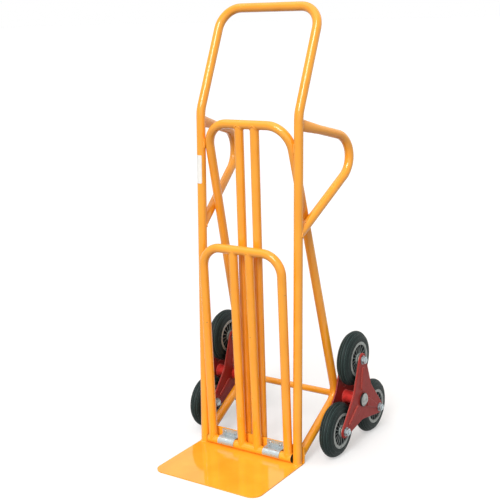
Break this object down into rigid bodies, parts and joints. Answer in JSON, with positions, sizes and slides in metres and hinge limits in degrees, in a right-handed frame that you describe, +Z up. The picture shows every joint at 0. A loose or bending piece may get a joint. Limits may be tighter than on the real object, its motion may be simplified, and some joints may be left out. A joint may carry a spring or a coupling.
{
  "type": "stair-climbing hand truck",
  "caption": "Bent-tube hand truck with a toe plate, a folding toe frame, side grips and a turning star of wheels at each end of its axle for climbing stairs.",
  "frame": {"origin": "on the floor under the toe plate, midway between the feet of the two uprights", "axes": "+X to the user's left as the user stands behind the handle and so to the right seen from the load's side, +Y towards the axle and the user, +Z up"},
  "size_m": [0.5076, 0.5947, 1.193],
  "materials": {
    "orange_paint": "glossy orange powder paint on steel tube and sheet",
    "red_paint": "satin red powder paint on pressed steel",
    "zinc_steel": "zinc-plated steel",
    "black_plastic": "moulded black plastic",
    "grey_plastic": "moulded grey plastic",
    "bearing_nylon": "turned natural nylon",
    "tyre_rubber": "moulded solid black rubber"
  },
  "bodies": {
    "frame": {"main_frame_tube": "orange_paint", "toe_plate": "orange_paint", "rear_brace_tube": "orange_paint", "hinge_rivets": "zinc_steel", "main_axle": "orange_paint", "axle_washers": "zinc_steel", "left_back_bar": "orange_paint", "left_side_grip": "orange_paint", "left_hinge_strap": "zinc_steel", "left_axle_cap": "zinc_steel", "right_back_bar": "orange_paint", "right_side_grip": "orange_paint", "right_hinge_strap": "zinc_steel", "right_axle_cap": "zinc_steel"},
    "folding_frame": {"hinge_tube": "orange_paint", "folding_loop": "orange_paint", "left_folding_bar": "orange_paint", "left_hinge_plug": "black_plastic", "right_folding_bar": "orange_paint", "right_hinge_plug": "black_plastic"},
    "left_star": {"left_inner_star_plate": "red_paint", "left_outer_star_plate": "red_paint", "left_star_hub_tube": "red_paint", "left_star_bushes": "black_plastic", "left_wheel_bolts": "zinc_steel", "left_wheel_nuts": "zinc_steel", "left_bolt_washers": "zinc_steel", "left_spacer_sleeves": "zinc_steel"},
    "left_top_wheel": {"left_top_tyre": "tyre_rubber", "left_top_wheel_hub": "grey_plastic", "left_top_wheel_bush": "bearing_nylon"},
    "left_front_wheel": {"left_front_tyre": "tyre_rubber", "left_front_wheel_hub": "grey_plastic", "left_front_wheel_bush": "bearing_nylon"},
    "left_rear_wheel": {"left_rear_tyre": "tyre_rubber", "left_rear_wheel_hub": "grey_plastic", "left_rear_wheel_bush": "bearing_nylon"},
    "right_star": {"right_inner_star_plate": "red_paint", "right_outer_star_plate": "red_paint", "right_star_hub_tube": "red_paint", "right_star_bushes": "black_plastic", "right_wheel_bolts": "zinc_steel", "right_wheel_nuts": "zinc_steel", "right_bolt_washers": "zinc_steel", "right_spacer_sleeves": "zinc_steel"},
    "right_top_wheel": {"right_top_tyre": "tyre_rubber", "right_top_wheel_hub": "grey_plastic", "right_top_wheel_bush": "bearing_nylon"},
    "right_front_wheel": {"right_front_tyre": "tyre_rubber", "right_front_wheel_hub": "grey_plastic", "right_front_wheel_bush": "bearing_nylon"},
    "right_rear_wheel": {"right_rear_tyre": "tyre_rubber", "right_rear_wheel_hub": "grey_plastic", "right_rear_wheel_bush": "bearing_nylon"}
  },
  "joints": [
    {"name": "folding_frame_fold", "type": "hinge", "parent": "frame", "child": "folding_frame", "pos_m": [0, 0.00007, 0.0155], "axis": [1, 0, 0], "range_deg": [-1.8, 88.7]},
    {"name": "left_star_turn", "type": "hinge", "parent": "frame", "child": "left_star", "pos_m": [-0.2118, 0.201, 0.132], "axis": [1, 0, 0], "continuous": true},
    {"name": "left_top_wheel_spin", "type": "hinge", "parent": "left_star", "child": "left_top_wheel", "pos_m": [-0.2118, 0.201, 0.246], "axis": [1, 0, 0], "continuous": true},
    {"name": "left_front_wheel_spin", "type": "hinge", "parent": "left_star", "child": "left_front_wheel", "pos_m": [-0.2118, 0.10227, 0.075], "axis": [1, 0, 0], "continuous": true},
    {"name": "left_rear_wheel_spin", "type": "hinge", "parent": "left_star", "child": "left_rear_wheel", "pos_m": [-0.2118, 0.29973, 0.075], "axis": [1, 0, 0], "continuous": true},
    {"name": "right_star_turn", "type": "hinge", "parent": "frame", "child": "right_star", "pos_m": [0.2118, 0.201, 0.132], "axis": [1, 0, 0], "continuous": true},
    {"name": "right_top_wheel_spin", "type": "hinge", "parent": "right_star", "child": "right_top_wheel", "pos_m": [0.2118, 0.201, 0.246], "axis": [1, 0, 0], "continuous": true},
    {"name": "right_front_wheel_spin", "type": "hinge", "parent": "right_star", "child": "right_front_wheel", "pos_m": [0.2118, 0.10227, 0.075], "axis": [1, 0, 0], "continuous": true},
    {"name": "right_rear_wheel_spin", "type": "hinge", "parent": "right_star", "child": "right_rear_wheel", "pos_m": [0.2118, 0.29973, 0.075], "axis": [1, 0, 0], "continuous": true}
  ]
}
